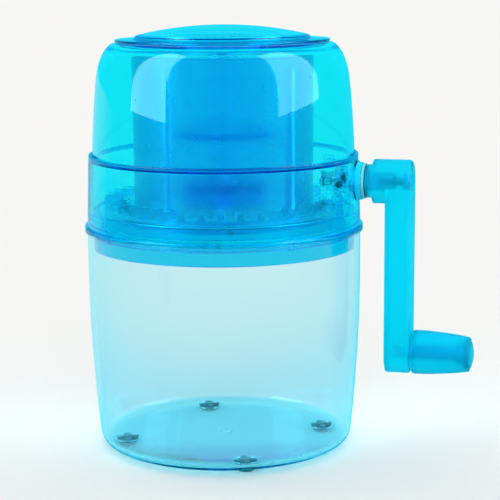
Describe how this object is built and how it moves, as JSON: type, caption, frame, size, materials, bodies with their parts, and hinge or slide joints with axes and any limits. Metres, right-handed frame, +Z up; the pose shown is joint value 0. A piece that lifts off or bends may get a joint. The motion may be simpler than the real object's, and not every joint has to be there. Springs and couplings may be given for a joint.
{
  "type": "hand cranked ice shaver",
  "caption": "Table-top ice shaver: clear jar on feet, drum turned by a side crank and gears, fixed blade, sprung pusher in a domed lift-off lid.",
  "frame": {"origin": "on the body's vertical axis, at the plane of the table that the four feet stand on", "axes": "+Z up; +X along the crank's axis, from the body towards the crank; +Y towards the back"},
  "size_m": [0.1897, 0.135, 0.2054],
  "materials": {
    "jar_clear_blue": "clear polished polystyrene with a light blue tint",
    "housing_blue": "transparent polished blue plastic",
    "deck_blue": "transparent blue plastic",
    "lid_blue": "transparent polished blue plastic",
    "drum_deep_blue": "transparent deep blue plastic",
    "gear_blue": "transparent blue plastic",
    "tube_blue": "transparent blue plastic",
    "sleeve_blue": "transparent blue plastic",
    "cup_dark_blue": "dark blue plastic",
    "plate_blue": "blue plastic",
    "bush_blue": "blue plastic",
    "bracket_blue": "blue plastic",
    "pinion_blue": "transparent pale blue plastic",
    "shaft_blue": "transparent blue plastic",
    "washer_pale": "pale translucent plastic",
    "crank_blue": "translucent blue plastic, lighter at its edges",
    "grip_blue": "translucent blue plastic, lighter at its edges",
    "foot_rubber": "dark teal rubber",
    "plug_teal": "dark teal plastic",
    "blade_steel": "ground stainless steel",
    "screw_steel": "plated steel",
    "dark_screw": "dark blued steel",
    "shaft_steel": "turned stainless steel",
    "spring_steel": "spring steel wire"
  },
  "bodies": {
    "jar": {"jar": "jar_clear_blue", "foot_pads": "foot_rubber", "foot_plugs": "plug_teal"},
    "housing": {"housing_band": "housing_blue", "blade_deck": "deck_blue", "blade": "blade_steel", "blade_screws": "screw_steel", "deck_pins": "deck_blue", "shaft_bush": "bush_blue", "bearing_bracket": "bracket_blue", "bracket_screws": "dark_screw"},
    "drum": {"ice_drum": "drum_deep_blue", "ring_gear": "gear_blue", "drum_screws": "screw_steel"},
    "crank": {"crank_arm": "crank_blue", "crank_shaft": "shaft_blue", "drive_pinion": "pinion_blue", "pinion_screw": "screw_steel", "thrust_washer": "washer_pale", "crank_screw": "screw_steel", "grip_spindle": "shaft_steel"},
    "grip": {"grip_sleeve": "grip_blue", "grip_cap": "grip_blue"},
    "lid": {"lid_dome": "lid_blue", "lid_cap": "lid_blue", "guide_tube": "tube_blue", "guide_screws": "screw_steel", "pusher_spring": "spring_steel"},
    "pusher": {"pusher_sleeve": "sleeve_blue", "pusher_collar": "sleeve_blue", "spring_cup": "cup_dark_blue", "plate_pivot": "screw_steel"},
    "press_plate": {"press_plate": "plate_blue"}
  },
  "joints": [
    {"name": "housing_lift", "type": "slide", "parent": "jar", "child": "housing", "axis": [0, 0, 1], "range_m": [0, 0.04]},
    {"name": "lid_lift", "type": "slide", "parent": "housing", "child": "lid", "axis": [0, 0, 1], "range_m": [0, 0.1]},
    {"name": "crank_turn", "type": "hinge", "parent": "housing", "child": "crank", "pos_m": [0.07, 0, 0.132], "axis": [1, 0, 0], "continuous": true},
    {"name": "drum_spin", "type": "hinge", "parent": "housing", "child": "drum", "pos_m": [0, 0, 0.115], "axis": [0, 0, 1], "continuous": true},
    {"name": "grip_spin", "type": "hinge", "parent": "crank", "child": "grip", "pos_m": [0.105, 0, 0.05], "axis": [1, 0, 0], "continuous": true},
    {"name": "pusher_slide", "type": "slide", "parent": "lid", "child": "pusher", "axis": [0, 0, 1], "range_m": [0, 0.03], "stiffness_N_per_m": 120, "springref_m": -0.03, "deforming": ["pusher_spring"]},
    {"name": "plate_spin", "type": "hinge", "parent": "pusher", "child": "press_plate", "pos_m": [0, 0, 0.1165], "axis": [0, 0, 1], "continuous": true}
  ],
  "couplings": [
    {"joint": "drum_spin", "follows": "crank_turn", "ratio": 0.2}
  ]
}
